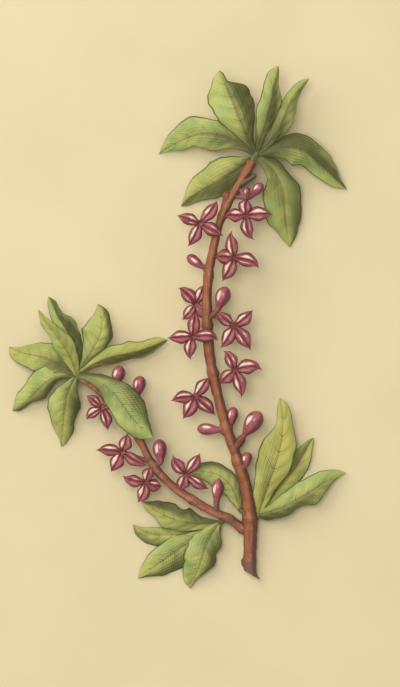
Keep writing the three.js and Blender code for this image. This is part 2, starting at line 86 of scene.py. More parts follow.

# Leaves. tip is where the point lies. bow and sway bend the midrib sideways, to the right of its own
# travel, arch lifts it and hook turns its point; fold droops both halves from the midrib when it is
# negative and roll tips the blade, in degrees. right and left give the margins: at each hundredth
# of the length, the millimetres from the midrib in plan. deep says how much painted shade, in a
# deeper green, lies on the right half, on the left half and near the stalk, in four judged steps,
# rim where the painted shade of the right and left halves is deepest, from the midrib, 0, to the
# margin, 1, and yellow how yellow a leaf is.
BARE, LIGHT, HALF, DEEP = 0.25, 0.42, 0.66, 0.95
TUFTS = {}
TUFTS["top_leaves"] = dict(crown=((1.45, 165.65, 14.03), (3.4, 169.3, 14.5), (1.25, 1)), leaves=[
    dict(lift=-0.5, tip=(-36, 168.4, 2.4), bow=8.2, arch=3.4, fold=-14, roll=-8,
         right={15: 1.6, 40: 5.4, 65: 7.4, 80: 5.6, 92: 2.6},
         left={15: 2, 35: 5.8, 52: 7.2, 70: 3.8, 80: 3.9, 92: 1.4}, deep=(LIGHT, LIGHT, DEEP), yellow=0.3),
    dict(lift=0.9, tip=(-12, 201.2, 20), bow=-0.6, arch=3.6, hook=-0.8, fold=-24, roll=8,
         right={15: 2, 40: 6.6, 62: 8.6, 75: 7.2, 88: 1.2, 96: 1.2},
         left={15: 2, 40: 6.6, 60: 9, 80: 8.4, 92: 4.8, 97: 2.8}, deep=(DEEP, BARE, DEEP), rim=(1, 0),
         yellow=0.3),
    dict(lift=0.5, tip=(11.6, 203.2, 18.5), bow=0.9, arch=2.4, fold=-26, roll=14,
         right={20: 1.6, 50: 3.9, 65: 3.6, 82: 1.4, 94: 0.8},
         left={20: 2.4, 45: 5, 65: 4.4, 88: 4.2, 96: 2.4}, deep=(DEEP, LIGHT, DEEP), yellow=0.4),
    dict(lift=-0.2, tip=(24, 198.4, 11), bow=0.8, sway=1.6, arch=2.6, fold=-28, roll=10,
         right={20: 1.8, 50: 3.9, 70: 3, 90: 1.1}, left={20: 2.2, 55: 3.7, 80: 2.6, 94: 1.6},
         deep=(HALF, LIGHT, DEEP), yellow=0.4),
    dict(lift=0.2, tip=(39.2, 154.4, 1), bow=-7.9, sway=-1.3, arch=3.6, fold=-22, roll=-6,
         right={15: 3.4, 40: 7.2, 60: 5.2, 70: 5.3, 90: 3.2}, left={20: 4, 38: 6, 60: 5.2, 80: 4, 90: 1.2},
         deep=(LIGHT, DEEP, DEEP), yellow=0.25),
    dict(lift=-0.4, tip=(16.4, 131.2, 1.2), bow=-4.2, sway=-1.6, arch=1.6, hook=0.6, fold=-18, roll=-4,
         right={15: 2.4, 35: 6, 55: 8.4, 72: 7.4, 88: 3.2},
         left={20: 4.2, 30: 4.7, 45: 6.9, 60: 7.3, 80: 5.5, 93: 2.8}, deep=(LIGHT, HALF, HALF), rim=(0, 1),
         yellow=0.35),
    dict(lift=-1, tip=(-27.2, 147.6, 1.4), bow=-0.3, sway=-0.8, arch=-1.6, fold=-14, roll=-4,
         right={15: 3.4, 40: 8.3, 65: 6.9, 80: 4.8, 91: 2.1},
         left={15: 3.2, 40: 6.4, 60: 5.8, 80: 3, 92: 2.2}, deep=(LIGHT, DEEP, HALF), yellow=0.5),
    dict(lift=-0.9, tip=(-12.6, 182.2, 10.5), arch=0.4, fold=-12, right={30: 1.6, 65: 2.5, 90: 1.2},
         left={30: 1.6, 65: 2.5, 90: 1.2}, deep=(LIGHT, LIGHT, LIGHT), yellow=0.1),
])
TUFTS["left_leaves"] = dict(crown=((-67.1, 78.4, 12.15), (-69.6, 80.6, 12.5), (1.05, 0.9)), leaves=[
    dict(lift=-0.5, tip=(-96, 91.2, 3), bow=2.5, arch=2, hook=2.3, fold=-18, roll=6,
         right={20: 2.8, 50: 6.4, 70: 4.7, 80: 3.6, 91: 1.2},
         left={20: 3, 50: 6.4, 75: 5.2, 90: 3.8, 97: 2.2}, deep=(LIGHT, LIGHT, DEEP), yellow=0.5),
    dict(lift=0.9, tip=(-84, 106, 24), bow=1.2, sway=0.6, arch=2.6, fold=-14, roll=-6,
         right={15: 2.4, 42: 4.3, 65: 2.9, 85: 1.4}, left={15: 2.4, 40: 4, 66: 2.1, 80: 2.3, 92: 1},
         deep=(LIGHT, BARE, LIGHT), yellow=0.5),
    dict(lift=0.3, tip=(-80, 111.2, 17), bow=2.6, sway=0.8, arch=1.2, fold=-28, roll=18,
         right={20: 2.2, 50: 4.8, 62: 4.2, 78: 2.1, 90: 2.1}, left={20: 3, 40: 4.4, 70: 3.2, 92: 1.8},
         deep=(DEEP, BARE, DEEP), yellow=0.2),
    dict(tip=(-60.4, 108.4, 13), bow=3.2, sway=-0.6, arch=0.6, hook=-1.5, fold=-18, roll=6,
         right={20: 1.6, 50: 4.2, 65: 4.9, 80: 3.5, 90: 2.8},
         left={20: 1.9, 50: 6.4, 62: 7.6, 80: 5.8, 90: 2.8}, deep=(HALF, BARE, HALF), rim=(1, 0),
         yellow=0.45),
    dict(lift=0.1, tip=(-32.4, 94, 6.5), bow=-1.2, sway=-1, arch=2.6, fold=-30, roll=16,
         right={20: 1.6, 40: 2.7, 70: 2.9, 90: 1.5},
         left={20: 2.1, 45: 4.6, 60: 4.7, 70: 3.5, 88: 3, 95: 1.8}, deep=(DEEP, LIGHT, BARE), yellow=0.6),
    dict(lift=0.8, tip=(-38.4, 54.8, 14.6), bow=-2.7, sway=-1.8, arch=4.8, hook=0.8, fold=-12, roll=-4,
         right={15: 1.8, 40: 4.9, 65: 5.9, 82: 5.4, 93: 3.2},
         left={15: 2.7, 35: 5.2, 60: 8.3, 78: 5.9, 92: 2.6}, deep=(LIGHT, HALF, HALF), rim=(0.5, 1),
         yellow=0.05),
    dict(lift=-0.6, tip=(-75.2, 51.2, 1), bow=2, sway=0.5, arch=1.4, fold=-16, roll=-6,
         right={15: 2.6, 42: 6.9, 65: 5.3, 80: 3.2, 91: 1.1},
         left={15: 2.6, 45: 6.4, 68: 4.4, 85: 3.9, 95: 2.3}, deep=(LIGHT, HALF, LIGHT), rim=(0, 1),
         yellow=0.4),
    dict(lift=-0.3, tip=(-94.8, 65.6, 1.6), bow=2.8, sway=1.2, arch=2, fold=-26, roll=-8,
         right={15: 1.9, 42: 6.8, 60: 5.6, 78: 5, 92: 2.8},
         left={25: 1.5, 50: 3.8, 60: 4.1, 78: 1.8, 92: 1.6}, deep=(BARE, DEEP, HALF), rim=(0, 1), yellow=0.3),
])
TUFTS["lower_leaves"] = dict(crown=((-10.8, 21.6, 4.6), (-12.2, 20, 4.3), (1.2, 0.9)), leaves=[
    dict(lift=0.6, tip=(-42.8, 29.2, 4.2), bow=-3.4, arch=2.6, fold=-18, roll=-10,
         right={20: 2.8, 40: 5.6, 50: 5.1, 62: 5.7, 82: 4.4, 92: 2},
         left={20: 2.1, 50: 4.4, 65: 4.6, 80: 2.4, 90: 2.3}, deep=(DEEP, LIGHT, LIGHT), rim=(1, 0),
         yellow=0.5),
    dict(lift=-0.6, tip=(-46.4, 20, 2.6), bow=-2.5, arch=-0.6, hook=3.5, fold=-14, roll=4,
         right={30: 1.8, 60: 3.1, 80: 2.9, 91: 1.3}, left={30: 1.9, 60: 4.1, 80: 4.1, 93: 2.6},
         deep=(LIGHT, HALF, DEEP), rim=(0, 1), yellow=0.5),
    dict(tip=(-44.4, -1.6, 1), bow=0.6, arch=2.2, fold=-18, roll=-4,
         right={20: 1.9, 45: 5.2, 65: 6, 80: 4.8, 93: 2.6}, left={20: 1.8, 40: 5, 60: 7.2, 78: 5, 90: 2},
         deep=(LIGHT, HALF, HALF), rim=(0, 1), yellow=0.4),
    dict(lift=0.8, tip=(-23.6, -5.6, 1), bow=0.9, sway=0.5, arch=4, fold=-18, roll=-6,
         right={10: 2.6, 35: 7.5, 60: 7, 90: 4.6, 96: 3.2},
         left={10: 2.6, 22: 5.4, 40: 5.1, 54: 5.9, 72: 3.6, 85: 1}, deep=(LIGHT, HALF, LIGHT), rim=(0, 1),
         yellow=0.35),
])
TUFTS["right_leaves"] = dict(crown=((2.6, 23, 4.9), (4.6, 24.6, 5.1), (1.3, 1)), leaves=[
    dict(lift=0.1, tip=(12.4, 70.8, 9), bow=2.8, sway=-0.6, arch=2.4, hook=-1, fold=-14, roll=6,
         right={15: 2.4, 45: 6.2, 60: 6.4, 75: 4.6, 90: 3.2, 96: 1.9},
         left={6: 2.8, 20: 5.6, 35: 6.8, 52: 8.1, 65: 6.6, 80: 2.7, 93: 1.6}, deep=(BARE, LIGHT, LIGHT),
         yellow=0.7),
    dict(lift=-0.9, tip=(26, 54.8, 2.2), bow=1, arch=-0.4, fold=-20, roll=-8,
         right={30: 2.1, 60: 4.7, 78: 3.7, 90: 1.7}, left={30: 1.9, 60: 3.6, 80: 3.3, 93: 1.8},
         deep=(BARE, HALF, LIGHT), yellow=0.6),
    dict(lift=0.8, tip=(38.8, 40.8, 2.6), bow=1.1, sway=0.7, arch=4.4, hook=0.4, fold=-20, roll=8,
         right={2: 2.4, 14: 3.5, 26: 3.8, 40: 3.4, 58: 5.4, 78: 2.9, 90: 1},
         left={12: 2.6, 40: 5.6, 65: 5.3, 85: 3.9, 94: 2.2}, deep=(HALF, BARE, HALF), rim=(0.6, 0),
         yellow=0.35),
])
TUFTS["back_leaf"] = dict(crown=((-2.2, 25, 4.6), (-4.2, 26.6, 4.1), (1, 0.8)), leaves=[
    dict(tip=(-24, 41.2, 2.2), bow=6.2, arch=0.6, fold=-16,
         right={20: 3.3, 45: 4.2, 75: 4.5, 92: 2.4}, left={20: 3.3, 50: 5.4, 75: 4, 92: 1.8},
         deep=(HALF, BARE, LIGHT), rim=(1, 0), yellow=0.4),
])

# Flowers: the throat, then the four lobes as bearing, reach, rise of the point, half width on the
# right and on the left, where it is widest, and how far the point hooks to the right, if it does.
STEM_FLOWERS = [
    ((-19.6, 140.4, 17.2), (54, 11.4, 0.8, 2.8, 2.3, 0.55, -0.5), (161, 9.7, 1.6, 2.6, 2.2, 0.45),
     (242, 10.4, 0.2, 2.2, 2.9, 0.42, 0.2), (332, 10.4, 0.4, 2.5, 2.7, 0.45)),
    ((-1.2, 143.6, 16.6), (84, 7, -0.8, 2, 3.5, 0.5), (185, 8.8, 1.2, 3, 2.4, 0.45, -0.4),
     (2, 10.8, -0.2, 2.4, 3.4, 0.42), (288, 10.1, -0.4, 3.4, 1.6, 0.45, -0.5)),
    ((-6, 126.8, 17), (94, 10.8, 0.6, 2.3, 2.7, 0.4, 0.7), (177, 7.6, 2.2, 3.1, 2.8, 0.5),
     (243, 10.7, -0.2, 2.4, 3.3, 0.42), (336, 10.9, -0.8, 2, 3.7, 0.42, 0.8)),
    ((-21.2, 108.4, 7.8), (138, 9.6, 1.6, 2.9, 2.4, 0.45, -0.5), (229, 8.5, 0.2, 2.3, 2.3, 0.5, 0.3),
     (307, 7.6, -1.4, 2.4, 2.4, 0.5), (66, 8.8, -0.6, 2.6, 2.2, 0.5)),
    ((-22.4, 95.2, 16.4), (83, 10.1, 0.6, 2.4, 2.8, 0.42), (182, 10.4, 0.2, 3, 2.3, 0.42, 0.3),
     (265, 9.2, 1.4, 3, 1.9, 0.42, -0.4), (351, 10.1, 0.6, 1.8, 3.3, 0.5, 0.9)),
    ((-6, 99.6, 16.2), (40, 9.9, 0.4, 3.1, 2, 0.45), (139, 8.5, 1.6, 2.2, 2.8, 0.5),
     (238, 10.4, -1, 2.5, 3, 0.42, 0.4), (305, 11.8, -0.4, 2.5, 3.2, 0.45)),
    ((-5.6, 82, 15.4), (122, 9, 1.2, 2.9, 2.1, 0.45, -0.6), (223, 8.2, 1.2, 2.9, 2.5, 0.5),
     (282, 11.5, -0.4, 2.3, 3, 0.42, 0.6), (0, 10.8, 0, 2, 3.9, 0.45, 0.7)),
    ((-21.6, 71.2, 13.8), (55, 9.8, 0.4, 2.6, 2.6, 0.5), (189, 9.7, 1, 3.3, 1.8, 0.42),
     (241, 10, 0.2, 2.4, 3.3, 0.45), (318, 11, -4.2, 2.3, 3.2, 0.42)),
]
BRANCH_FLOWERS = [
    ((-58.8, 66.8, 14.2), (141, 8, 0.6, 2.4, 1.6, 0.5), (219, 7.8, -0.6, 2.7, 1.5, 0.5, -0.3),
     (286, 9.4, -1, 1.6, 3, 0.45, -0.3), (29, 7.6, -0.8, 2.4, 2.4, 0.5)),
    ((-50.8, 49.2, 14), (73, 8, 0.4, 3, 2.3, 0.4), (176, 10.4, -0.4, 3, 1.9, 0.42),
     (241, 9.1, 0.8, 2.6, 2.9, 0.45), (333, 11.6, 0, 2.7, 1.8, 0.42, -0.3)),
    ((-41.4, 37, 12.6), (68, 6.8, 1.6, 2, 2.7, 0.5), (163, 9.6, 0, 1.8, 2.9, 0.45, 0.3),
     (249, 8.6, 0.2, 1.7, 3.4, 0.5), (347, 7, -4.4, 3, 2.2, 0.5)),
    ((-25.2, 40.4, 13.6), (56, 10.1, 0, 2.9, 2, 0.5), (124, 9.2, 1.4, 2, 3, 0.45, 0.4),
     (251, 7.2, -0.8, 2.6, 2.6, 0.5), (327, 11, -1, 2.7, 1.6, 0.5)),
]
# Buds: base and point of the head, its width, and where the tube leaves the wood if not nearest.
STEM_BUDS = [
    ((1.4, 151.7, 14.8), (5.4, 156.4, 16), 4, (-7, 151.2, 13.4)),
    ((-0.7, 151.4, 18.4), (-1, 154.8, 19.8), 2.8, (-4.8, 155.2, 13.6)),
    ((-18.9, 123.3, 13.4), (-24.7, 127.7, 14.6), 4.1),
    ((-12.4, 106.2, 13.4), (-9, 115.2, 14.8), 6, (-13.8, 104.7, 12.9)),
    ((-7.2, 60.4, 9), (-6, 67.2, 9.6), 4.4),
    ((-1.7, 56.3, 10.4), (4.6, 65.2, 12.2), 6.8, (-3, 54.3, 9.5)),
    ((-12.2, 58, 9.7), (-20.8, 58.6, 9.4), 4.6),
    ((-1.3, 43.8, 9.8), (-0.4, 49.2, 10.8), 4.2),
]
BRANCH_BUDS = [
    ((-53.4, 76.2, 10.4), (-51.2, 83.6, 10.6), 5.2),
    ((-44.6, 72.2, 10), (-43.2, 79.6, 10.4), 5.2),
    ((-35.2, 45.2, 11.4), (-36, 54.4, 12), 5.6),
    ((-13, 29.2, 10.2), (-12, 38.8, 11.8), 5, (-12.6, 23.7, 6.1)),
]
POINTED_BUDS = (12,)  # the others are blunt
TAPERED_BUDS = (4, 11, 12)  # the others are plump down to the tube
VEIN_PAIRS = 7  # side veins on each half of a leaf
FINE_VEINS = 6  # fine veins to each side vein
VEIN_SWEEP = 0.17  # how far a side vein runs towards the point, as a share of the leaf
# A stalk takes the painted shade of the leaves at its full depth.
STALK_GREEN = np.array([0.3, 0.4, 1.0, 0.2])  # along, across, depth and yellow all over a stalk


# ---- finishes ----
def linear(code):
    """A colour given as an sRGB hex code, in linear light."""
    shares = [int(code[i:i + 2], 16) / 255 for i in (1, 3, 5)]
    return [c / 12.92 if c <= 0.04045 else ((c + 0.055) / 1.055) ** 2.4 for c in shares] + [1.0]


def add(skin, kind, *values, out=0, feeds=None, **named):
    """Adds a node of a kind, and of an operation if one follows the kind, and gives the socket
    wanted of it. Values fill its sockets in order and feeds those that it numbers. A capitalised
    name is a socket's, any other a setting's. A value is a number, a hex colour or the socket it
    comes from."""
    kind, *operation = kind.split()
    made = skin.tree.nodes.new("ShaderNode" + kind)
    if operation:
        made.operation = operation[0]
    sockets = [*enumerate(values), *(feeds or {}).items()]
    for name, value in named.items():
        if name[0].isupper():
            sockets.append((name, value))
        else:
            setattr(made, name, value)
    for place, value in sockets:
        if isinstance(value, bpy.types.NodeSocket):
            skin.tree.links.new(value, made.inputs[place])
        else:
            made.inputs[place].default_value = linear(value) if isinstance(value, str) else value
    return made.outputs[out]


def lay(skin, colour, *coats):
    """Lays coats over a colour. Each is a colour, a mask, the two values between which the coat
    comes in as the mask rises, or falls, and the most that it covers, if not all."""
    for over, mask, low, high, *most in coats:
        share = add(skin, "MapRange", mask, low, high, 0, *(most or [1]), interpolation_type="SMOOTHSTEP")
        colour = add(skin, "Mix", out=2, feeds={0: share, 6: colour, 7: over}, data_type="RGBA")
    return colour


def start_finish(name, **sockets):
    """A new material with one plain shader, whose constants are set on its own sockets, and what
    the patterns read: the place on the skin, along and across it, two tones and the body."""
    skin = SimpleNamespace(made=bpy.data.materials.new(name))
    skin.made.use_nodes = True
    skin.tree = skin.made.node_tree
    skin.shader = skin.tree.nodes["Principled BSDF"]
    for socket, value in sockets.items():
        skin.shader.inputs[socket.replace("_", " ")].default_value = value
    skin.place = add(skin, "UVMap", uv_map="place")
    skin.along, skin.across = add(skin, "SeparateXYZ", skin.place).node.outputs[:2]
    skin.tone = add(skin, "SeparateXYZ", add(skin, "UVMap", uv_map="tone")).node.outputs
    skin.body = add(skin, "TexCoord", out="Object")
    return skin


def end_finish(skin, colour, height, depth_mm, mottle=None, gloss=None):
    """Joins the colour, the relief of that depth, and a roughness that runs over gloss with mottle."""
    link, shader = skin.tree.links.new, skin.shader.inputs
    link(colour, shader["Base Color"])
    if gloss:
        link(add(skin, "MapRange", mottle, 0.3, 0.7, *gloss), shader["Roughness"])
    link(add(skin, "Bump", Height=height, Distance=depth_mm * MM, Strength=1), shader["Normal"])
    return skin.made


def young_bark(name, light, warm, deep, grey, pale, patchy):
    """Mezereon bark of the last few years: thin, smooth and a little waxy, so it gives the eye a
    satin red-brown with darker streaks along it, painted shade on the flanks that face down or away
    from the light, a grey foot and pale pores. Its first tone darkens it at scars and cushions, on
    spurs, and with painted shade in the hollows of wrinkles and at a collar."""
    skin = start_finish(name, IOR=1.45)
    # blotches of 6 mm, and grey patches of 3 mm
    blotch = add(skin, "TexNoise", Vector=skin.body, Scale=0.16 / MM, Detail=4)
    patch = add(skin, "TexNoise", Vector=skin.body, Scale=0.35 / MM, Detail=3)
    # streaks about 0.6 mm apart round the wood and 8 mm long
    drawn = add(skin, "VectorMath MULTIPLY", skin.place, (0.12, 1.6, 1))
    streak = add(skin, "TexNoise", Vector=drawn, Scale=1, Detail=4, Roughness=0.65)
    # painted shade on the flanks that face down or away from the light, broken by the streaks
    shaded_flank = add(skin, "Math MULTIPLY_ADD", streak, 0.5, skin.tone[1])
    foot = add(skin, "Math MULTIPLY_ADD", streak, 16, skin.along)
    # breathing pores: one to every 2.4 mm of bark
    pores = add(skin, "TexVoronoi", out="Distance", Vector=skin.place, Scale=0.42)
    # deep is laid for the streaks, for the painted shade on the flanks and for the first tone, which holds
    # the scars and painted shade in the hollows
    colour = lay(skin, light, (warm, blotch, 0.38, 0.64), (grey, patch, 0.5, 0.62, patchy),
                 (deep, streak, 0.47, 0.68, 0.65), (deep, shaded_flank, 0.5, 0.95, 0.88),
                 (deep, skin.tone[0], 0, 1, 0.8), (grey, foot, 20, 10, 0.85),
                 (pale, pores, 0.17, 0.09, 0.45))
    height = add(skin, "Math MULTIPLY_ADD", pores, -0.5, streak)
    return end_finish(skin, colour, height, 0.12, streak, (0.44, 0.62))


def cut_wood():
    """A knife cut through green wood: pale and damp, with one faint ring and a thin green line
    under the bark, so it shows dull and lighter than all round it."""
    skin = start_finish("cut_sapwood", Roughness=0.7)
    fibre = add(skin, "TexNoise", Vector=skin.body, Scale=1.8 / MM, Detail=2)
    off_ring = add(skin, "Math ABSOLUTE", add(skin, "Math SUBTRACT", skin.along, 0.56))
    colour = lay(skin, "#b58f5e", ("#d6be8c", skin.along, 0.05, 0.3), ("#c0a06a", off_ring, 0.05, 0, 0.8),
                 ("#8f9a56", skin.along, 0.8, 0.86), ("#5f4433", skin.along, 0.88, 0.92),
                 ("#8a6f4c", fibre, 0.4, 0.75, 0.6))
    return end_finish(skin, colour, fibre, 0.08)


def leaf_blade(name, light, fresh, yellow, deep, vein):
    """A thin, soft mezereon leaf: matt and light green, so light rakes over it with hardly any shine,
    with a sunk midrib, side veins and a net of fine veins. Painted shade in the deep colour is laid
    in lines along the net, as deep as its first tone asks."""
    skin = start_finish(name, IOR=1.42, Coat_Weight=0.05, Coat_Roughness=0.4)
    across = add(skin, "Math ABSOLUTE", skin.across)
    along = add(skin, "Math FRACT", skin.along)
    # blotches of 6 mm
    blotch = add(skin, "TexNoise", Vector=skin.body, Scale=0.16 / MM, Detail=4, Roughness=0.55)
    flush = add(skin, "Math MULTIPLY_ADD", across, -0.5, skin.tone[1])
    # side veins, swept towards the point, and a net of finer ones about 0.9 mm apart
    sweep = add(skin, "Math POWER", across, 1.3)
    swept = add(skin, "Math MULTIPLY_ADD", sweep, -VEIN_SWEEP, along)
    wander = add(skin, "Math MULTIPLY_ADD", blotch, 0.05, swept)
    count = add(skin, "Math MULTIPLY", wander, VEIN_PAIRS)
    off_side = add(skin, "Math PINGPONG", count, 0.5)
    finer = add(skin, "Math MULTIPLY", count, FINE_VEINS)
    off_fine = add(skin, "Math PINGPONG", finer, 0.5)
    crossing = add(skin, "Math MULTIPLY_ADD", across, 6, swept)
    off_cross = add(skin, "Math PINGPONG", crossing, 0.5)
    off_net = add(skin, "Math MULTIPLY_ADD", off_cross, 0.55, off_fine)
    # the painted shade is laid in the deep colour, in lines along the net
    cover = add(skin, "Math MULTIPLY_ADD", off_net, -0.62, skin.tone[0])
    shaded = add(skin, "Math MULTIPLY_ADD", blotch, 0.35, cover)
    # a side vein fades towards the margin, and the midrib narrows towards the point
    faded = add(skin, "Math MULTIPLY_ADD", across, 0.09, off_side)
    thin = add(skin, "Math MULTIPLY_ADD", along, 0.035, across)
    # deep is the painted shade, as deep as the first tone asks
    colour = lay(skin, light, (fresh, blotch, 0.42, 0.6), (yellow, flush, -0.1, 0.8),
                 (deep, shaded, 0.1, 1, 0.92), (vein, faded, 0.08, 0.03, 0.42),
                 (vein, thin, 0.065, 0.025, 0.62), (vein, across, 0.91, 0.975, 0.85))
    height = add(skin, "Math MULTIPLY_ADD", off_fine, 0.5, blotch)
    return end_finish(skin, colour, height, 0.15, blotch, (0.52, 0.68))


def petal_skin(edge, body_colour, flush, pale):
    """A fleshy, waxy mezereon lobe: deep rose at its margins and point, with painted shade down its
    groove and at its base, and a painted highlight of silvery pink on the swell of each half, larger
    on the half that faces the light, with fine streaks along it and a soft shine."""
    skin = start_finish("rose_lobe", Coat_Weight=0.2, Coat_Roughness=0.3, IOR=1.45)
    along = add(skin, "Math FRACT", skin.along)
    across = add(skin, "Math ABSOLUTE", skin.across)
    # streaks about 0.35 mm apart that run to the point, and patches of 2 mm
    drawn = add(skin, "VectorMath MULTIPLY", skin.place, (3, 5.5, 1))
    streak = add(skin, "TexNoise", Vector=drawn, Scale=1, Detail=3)
    patch = add(skin, "TexNoise", Vector=skin.body, Scale=0.5 / MM, Detail=2)
    # how far a place is from the crown of its half's swell, ragged by the streaks and patches, and nearer on
    # the half that faces the light: there the painted highlight lies
    far = add(skin, "Math ABSOLUTE", add(skin, "Math SUBTRACT", across, 0.4))
    off_middle = add(skin, "Math POWER", add(skin, "Math SUBTRACT", along, 0.42), 2)
    for what, much in ((streak, 0.5), (patch, 0.35), (off_middle, 2.6), (skin.tone[0], -0.34)):
        far = add(skin, "Math MULTIPLY_ADD", what, much, far)
    # pale is the painted highlight; edge is painted shade down the groove and at the base, and a darker rose
    # at the margins and point
    colour = lay(skin, body_colour, (flush, patch, 0.4, 0.6), (edge, streak, 0.45, 0.7, 0.6),
                 (pale, far, 0.4, 0.18, 0.95), (edge, across, 0.7, 0.92, 0.95),
                 (edge, across, 0.14, 0.03, 0.6), (edge, along, 0.24, 0.05, 0.75),
                 (edge, along, 0.82, 0.97, 0.6))
    return end_finish(skin, colour, streak, 0.06, streak, (0.36, 0.5))


def bud_skin(edge, body_colour, flush, pale):
    """The skin of a closed bud: waxy and taut over the folded lobes and their seams, crimson with
    darker streaks, with painted shade on the side that faces down or away from the light, one
    painted highlight of silvery pink where it swells towards the light, and a soft shine."""
    skin = start_finish("waxy_bud", Coat_Weight=0.5, Coat_Roughness=0.25, IOR=1.45)
    drawn = add(skin, "VectorMath MULTIPLY", skin.place, (3, 5.5, 1))
    streak = add(skin, "TexNoise", Vector=drawn, Scale=1, Detail=3)
    patch = add(skin, "TexNoise", Vector=skin.body, Scale=0.6 / MM, Detail=2)
    # the painted highlight, broken by the streaks
    bloom = add(skin, "Math MULTIPLY_ADD", streak, 1.1, skin.tone[0])
    colour = lay(skin, body_colour, (flush, patch, 0.4, 0.6), (edge, streak, 0.45, 0.75, 0.45),
                 (edge, skin.tone[1], 0.25, 0.85, 0.9), (pale, bloom, 1.16, 1.42, 0.92))
    return end_finish(skin, colour, streak, 0.06, streak, (0.32, 0.46))


def tube_skin():
    """The calyx tube of a mezereon flower: thin, slightly downy and rose, brown where it leaves the
    wood, darker with painted shade on the side that faces down or away from the light, with no gloss."""
    skin = start_finish("downy_tube", Sheen_Weight=0.2, Sheen_Roughness=0.5)
    down = add(skin, "TexNoise", Vector=skin.body, Scale=2.2 / MM, Detail=2)
    along = add(skin, "Math FRACT", skin.along)
    # the second tone lays painted shade on the side that faces down or away from the light
    colour = lay(skin, "#6a4a3a", ("#94545a", along, 0.05, 0.55), ("#7a3c44", along, 0.8, 1),
                 ("#5c3a34", skin.tone[1], 0.3, 0.9, 0.7), ("#b98680", down, 0.5, 0.8, 0.4))
    return end_finish(skin, colour, down, 0.05, down, (0.6, 0.8))


def mottled(name, roughness, colour, over, per_mm, detail):
    """A plain matt surface that is faintly mottled."""
    skin = start_finish(name, Roughness=roughness)
    mottle = add(skin, "TexNoise", Vector=skin.body, Scale=per_mm / MM, Detail=detail)
    return end_finish(skin, lay(skin, colour, (over, mottle, 0.3, 0.7)), mottle, 0.05)


# The deep bark colour is for the streaks and scars, and for painted shade.
STEM_BARK = young_bark("red_brown_bark", "#a5643f", "#925438", "#5c3d30", "#5f5243", "#b98e6c", 0.15)
BRANCH_BARK = young_bark("rosy_brown_bark", "#b27258", "#985c46", "#583a2e", "#6a5540", "#c9a284", 0.85)
CUT_WOOD = cut_wood()
# The fourth leaf colour is the painted shade.
LEAF_TOP = leaf_blade("mezereon_leaf_upper", "#b0b96a", "#9db269", "#bcb45a", "#484a26", "#444226")
LEAF_UNDER = leaf_blade("mezereon_leaf_under", "#aab07c", "#9fa880", "#b3b272", "#6c7046", "#7c805a")
# The first lobe and bud colour is also painted shade; the last is the painted highlight.
PETAL = petal_skin("#643032", "#904552", "#a65c62", "#f7e0ce")
BUD_SKIN = bud_skin("#663036", "#964658", "#ac5c68", "#f6e2d4")
TUBE = tube_skin()
# The flesh inside a tube lies in its own shadow, deep crimson and matt.
THROAT = mottled("crimson_throat", 0.7, "#86444a", "#9e5a5e", 1.2, 2)
# Eggshell paint, rolled on smooth: pale, matt and even, so that the table top only takes shadows.
TABLE_TOP = mottled("eggshell_table", 0.9, "#d9cca6", "#ddd1ab", 0.02, 3)


# ---- shells ----
def place_in_scene(name, data, place=(0, 0, 0)):
    made = bpy.data.objects.new(name, data)
    made.location = place
    bpy.context.collection.objects.link(made)
    return made


class Shell:
    """The faces of one piece, gathered ring by ring before they become a mesh."""

    def __init__(self):
        self.points, self.faces, self.marks, self.finishes = [], [], [], []
        self.count = 0

    def take(self, points, faces, marks, finishes, turned):
        """Takes in points and their faces, with a mark at each corner, turned over if asked."""
        order = -1 if turned else 1
        self.points.append(points.reshape(-1, 3))
        self.count += len(self.points[-1])
        self.faces += faces[:, ::order].tolist()
        self.marks.append(marks[:, ::order].reshape(-1, 4))
        self.finishes += finishes.tolist()

    def rings(self, points, marks, finish_of_column, caps=(True, True)):
        """Closes a row of rings into a skin. points is rings by columns by 3. marks are the two
        places and the two tones, with one more column, where the ring meets itself."""
        rows, columns = points.shape[:2]
        marks = np.broadcast_to(marks, (rows, columns + 1, 4))
        first = self.count
        inward = faces_inward(points)
        finishes = np.broadcast_to(finish_of_column, columns)
        i, j = (grid.ravel() for grid in np.mgrid[:rows - 1, :columns])
        here, after = first + i * columns, (j + 1) % columns
        quads = np.stack([here + j, here + after, here + columns + after, here + columns + j], -1)
        corners = np.stack([marks[i, j], marks[i, j + 1], marks[i + 1, j + 1], marks[i + 1, j]], 1)
        self.take(points, quads, corners, np.tile(finishes, rows - 1), inward)
        j = np.arange(columns)
        for row, wanted in ((0, caps[0]), (rows - 1, caps[1])):
            if wanted:
                rim = first + row * columns
                trios = np.stack([np.full(columns, self.count), rim + j, rim + (j + 1) % columns], -1)
                middle = np.broadcast_to(marks[row, :-1].mean(0), (columns, 4))
                corners = np.stack([middle, marks[row, :-1], marks[row, 1:]], 1)
                self.take(points[row].mean(0), trios, corners, finishes, (row > 0) == inward)

    def piece(self, name, finishes, node, sharp=60):
        """The mesh as a piece of the sprig that stands for one solid of the frame."""
        mesh = bpy.data.meshes.new(name)
        points = (np.concatenate(self.points) + PLAN_ZERO) * MM
        mesh.from_pydata(points.tolist(), [], self.faces)
        marks = np.concatenate(self.marks).astype(np.float32)
        for title, pair in (("place", marks[:, :2]), ("tone", marks[:, 2:])):
            mesh.uv_layers.new(name=title).data.foreach_set("uv", pair.ravel())
        for material in finishes:
            mesh.materials.append(material)
        mesh.polygons.foreach_set("material_index", self.finishes)
        mesh.shade_smooth()
        mesh.set_sharp_from_angle(angle=math.radians(sharp))
        mesh.validate()
        made = place_in_scene(name, mesh)
        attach(made, "root")
        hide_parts(node)


def faces_inward(points):
    """Whether faces that follow the rings round would look inwards."""
    spokes = points - points.mean(1, keepdims=True)
    area = np.cross(spokes, np.roll(spokes, -1, axis=1)).sum(1)
    return np.sum(area * np.gradient(points.mean(1), axis=0)) < 0


